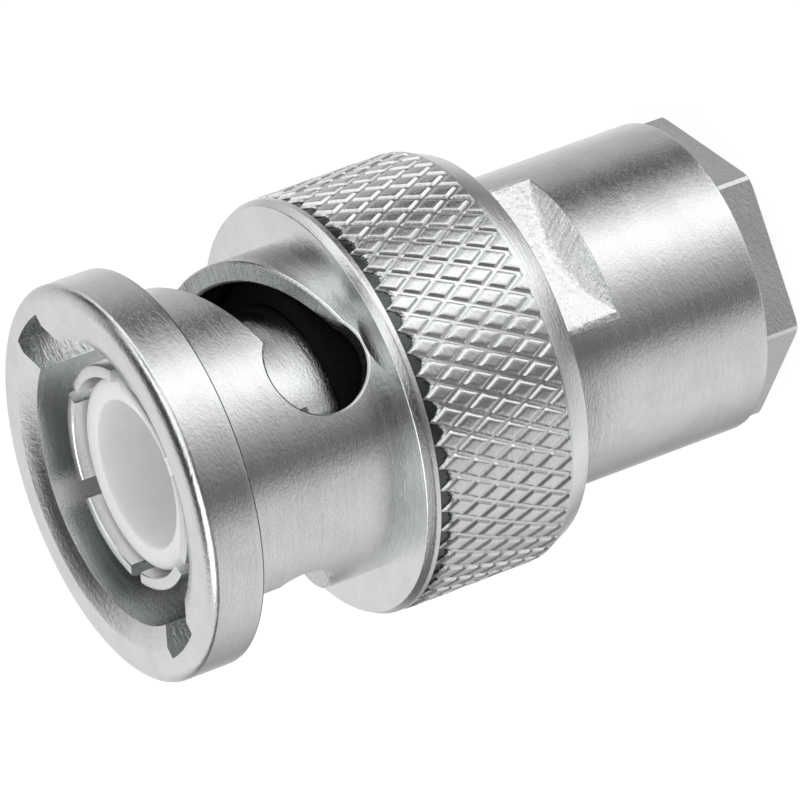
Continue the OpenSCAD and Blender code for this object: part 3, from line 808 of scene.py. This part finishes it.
def barrel(skin):
    """Rows of points. On the wrench flats the radius is held in, and the flats' rear end is the
    parabola held + depth t^2 at the height flat_z + run_out_rise depth (1 - t), with t from 1 to
    0. The threaded hole, the spindle and the bore are plainly round."""
    sine = np.abs(np.sin(np.radians(round_columns)))
    held = np.minimum(barrel_r, flat_half / np.maximum(sine, 1e-6))
    depth, flat_z = barrel_r - held, barrel_front - flat_len
    rear = eased([(hole_r, barrel_rear), (barrel_r, barrel_rear, 0.10),
                  (barrel_r, barrel_rear + 1)])[:-1]
    outside = [(barrel_r, z) for z in np.linspace(barrel_rear + 0.3, flat_z, 8)]
    outside += [(held + depth * t ** 2, flat_z + run_out_rise * depth * (1 - t))
                for t in (0.8, 0.6, 0.4, 0.2, 0.0)]
    outside += [(held, barrel_front - 0.1), (held - 0.03, barrel_front - 0.03),
                (held - 0.1, barrel_front)]
    spindle = [(spindle_r, barrel_front), (spindle_r, spindle_front - 0.16),
               (spindle_r - 0.03, spindle_front - 0.04), (spindle_r - 0.12, spindle_front)]
    bore = [(finger_bore, spindle_front), (finger_bore, barrel_rear + hub_front),
            (hub_hole_r, barrel_rear + hub_front), (hub_hole_r, barrel_rear + hub_rear),
            (finger_bore, barrel_rear + hub_rear), (finger_bore, barrel_rear + hole_end),
            (hole_r, barrel_rear + hole_end), (hole_r, barrel_rear)]
    rows = [at(r, round_columns, z) for r, z in [*rear, *outside, *spindle, *bore]]
    skin.grid(np.stack(rows), closed=True)

def fingers(skin, count=6, columns=22):
    """The sleeve, which starts inside the spindle. Above the foot of the saw cuts each finger is
    an arc of columns that ends at the flat walls of its cuts: the angle there is the arcsine of
    half the cut over the radius, so a wall stays an equal distance from the cut's middle."""
    foot = spindle_front - 0.25
    def fan(r, z, own):
        """One row of a sixth of the sleeve: over a finger, or over the cut before it."""
        e = reach(finger_half, r)
        turn = np.linspace(e, 360 / count - e, columns) if own else np.linspace(-e, e, 5)
        return at(r, turn, z)
    heights = np.linspace(saw_z, finger_tip - 0.12, 6)
    outside = [(finger_r, z) for z in heights] + [(finger_r - 0.04, finger_tip - 0.035),
                                                  (finger_r - 0.12, finger_tip)]
    inside = [(finger_bore, z) for z in heights] + [(finger_bore + 0.015, finger_tip - 0.03),
                                                    (finger_bore + 0.05, finger_tip)]
    ring = [(finger_bore, saw_z), (finger_bore, foot), (finger_r, foot), (finger_r, saw_z)]
    for k in range(count):
        turn = k * 360 / count
        out_rows = np.stack([fan(*p, True) for p in outside])
        in_rows = np.stack([fan(*p, True) for p in inside])
        skin.grid(spin(np.concatenate([out_rows, in_rows[::-1]]), turn))
        for end, flip in ((0, True), (-1, False)):
            wall = np.stack([out_rows[:, end], in_rows[:, end]], 1)
            skin.grid(spin(wall[:, ::-1] if flip else wall, turn))
        skin.grid(spin(np.stack([fan(*p, True) for p in ring]), turn))
        skin.grid(spin(np.stack([fan(*p, False) for p in ring + ring[:1]]), turn))

body = Skin()
barrel(body)
fingers(body)
dress(body.object("connector_body_turned"), "plug_body", "plated_brass", nickel, "connector_body")

# %% [markdown]
# ## Clamp nut
# A hexagon is a radius that depends on the angle: half the distance across the flats over the
# cosine of the angle from the nearest flat's middle. Its corners are a little worn, and a shallow
# cone just takes off their rear tips.

# %% The clamp nut's skin
nut_flat, nut_face_r, head_h, nut_turn, cable_r, shank_r = 4.60, 5.20, 1.30, 28.0, 2.70, 4.20

def clamp_nut(skin, per_side=24):
    """Rows at the rear face, the cone, the six flats, the shank and the hole."""
    worn_r = nut_flat / math.cos(math.radians(30)) - 0.045
    worn = math.degrees(math.acos(nut_flat / worn_r))
    side = np.concatenate([[-30], np.linspace(-worn, worn, per_side)])
    degrees = np.concatenate([nut_turn + 30 + 60 * k + side for k in range(6)])
    hexagon = np.tile(np.minimum(nut_flat / np.cos(np.radians(side)), worn_r), 6)
    cone = np.maximum(0, (hexagon - nut_face_r) * math.tan(math.radians(30)))
    profile = [(cable_r, head_h), (cable_r, 0.12), (cable_r + 0.04, 0.04), (cable_r + 0.12, 0.0),
               (np.minimum(hexagon - 0.02, nut_face_r), 0.0), (hexagon, cone + 0.02),
               (hexagon, head_h - 0.05), (hexagon - 0.05, head_h), (shank_r, head_h),
               (shank_r, shank_top), (cable_r, shank_top), (cable_r, head_h)]
    skin.grid(np.stack([at(r, degrees, z) for r, z in profile]), closed=True)

clamp = Skin()
clamp_nut(clamp)
dress(clamp.object("clamp_nut_hexagon", 18), "rear_nut", "plated_brass", nickel, "clamp_nut")

# %% [markdown]
# ## Insulator and front seal
# Both are plain turnings with eased edges. The insulator is a cup: its socket takes the jack's
# dielectric, and the hole in its floor takes the centre contact.

# %% The front insulator and the seal
socket_r, socket_depth, pin_r = 2.54, 5.8, 0.70
insulator = Skin()
turned(insulator, eased([
    (pin_r, insulator_rear), (insulator_r, insulator_rear, 0.05), (insulator_r, insulator_rim, 0.25),
    (socket_r, insulator_rim, 0.12), (socket_r, insulator_rim - socket_depth, 0.10),
    (pin_r, insulator_rim - socket_depth, 0.05)], 6))
dress(insulator.object("front_insulator_cup", 40), "plug_body", "white_insulator", white_insulator,
      "front_insulator")

seal = Skin()
seal_bore = 3.94
turned(seal, eased([(seal_bore, seal_rear, 0.05), (seal_r, seal_rear, 0.12),
                    (seal_r, seal_front, 0.12), (seal_bore, seal_front, 0.05)]))
dress(seal.object("front_seal_ring", 40), "plug_body", "black_rubber", black_rubber, "front_seal")

# %% [markdown]
# ## Pieces that keep the model's own shape
# Washers, the braid clamp and the rear seals are plain and hardly show, so their own solids stay
# and only get a finish.

# %% Finishes for the pieces inside
inner_finishes = {
    "rear_insulator": white_insulator, "retaining_ring": washer_steel, "stop_washer": washer_steel,
    "upper_wave_washer": washer_steel, "lower_wave_washer": washer_steel,
    "thrust_washer": washer_steel, "clamp_washer": washer_steel, "braid_clamp": turned_brass,
    "cable_seal": black_rubber}
for name, its_finish in inner_finishes.items():
    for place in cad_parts[name].material_slots:
        place.material = its_finish
print(len(inner_finishes), "pieces keep their own shape")
